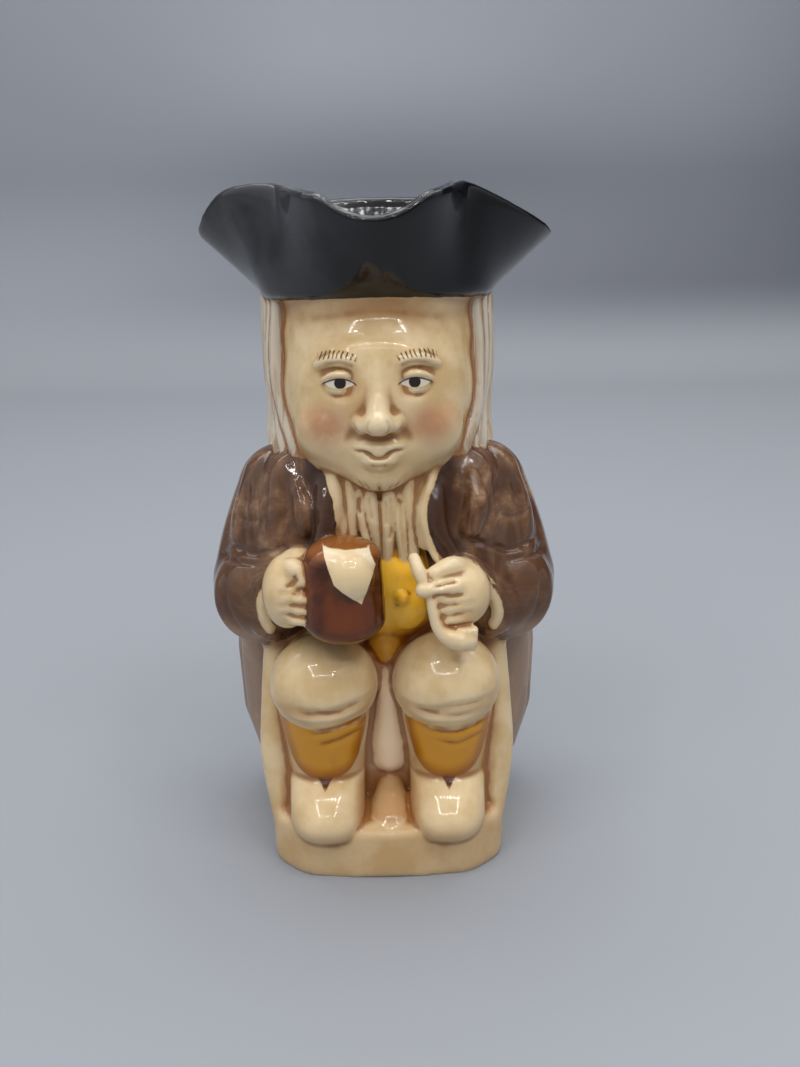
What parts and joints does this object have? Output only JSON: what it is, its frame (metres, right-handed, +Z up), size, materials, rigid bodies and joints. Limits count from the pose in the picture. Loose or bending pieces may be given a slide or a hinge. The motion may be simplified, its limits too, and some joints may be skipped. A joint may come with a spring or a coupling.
{
  "type": "toby jug",
  "caption": "Hollow glazed earthenware jug cast as a seated man in a three-cornered hat, holding a mug and a pipe, with a loop handle behind.",
  "frame": {"origin": "on the flat underside, in the jug's middle plane and below the middle of the head", "axes": "+Z up through the mouth in the hat, -Y the way the figure faces and pours, +X towards the figure's left hand with the pipe"},
  "size_m": [0.0887, 0.1074, 0.1704],
  "materials": {
    "glaze": "gloss"
  },
  "bodies": {
    "root": {"toby_jug": "glaze"}
  },
  "joints": []
}
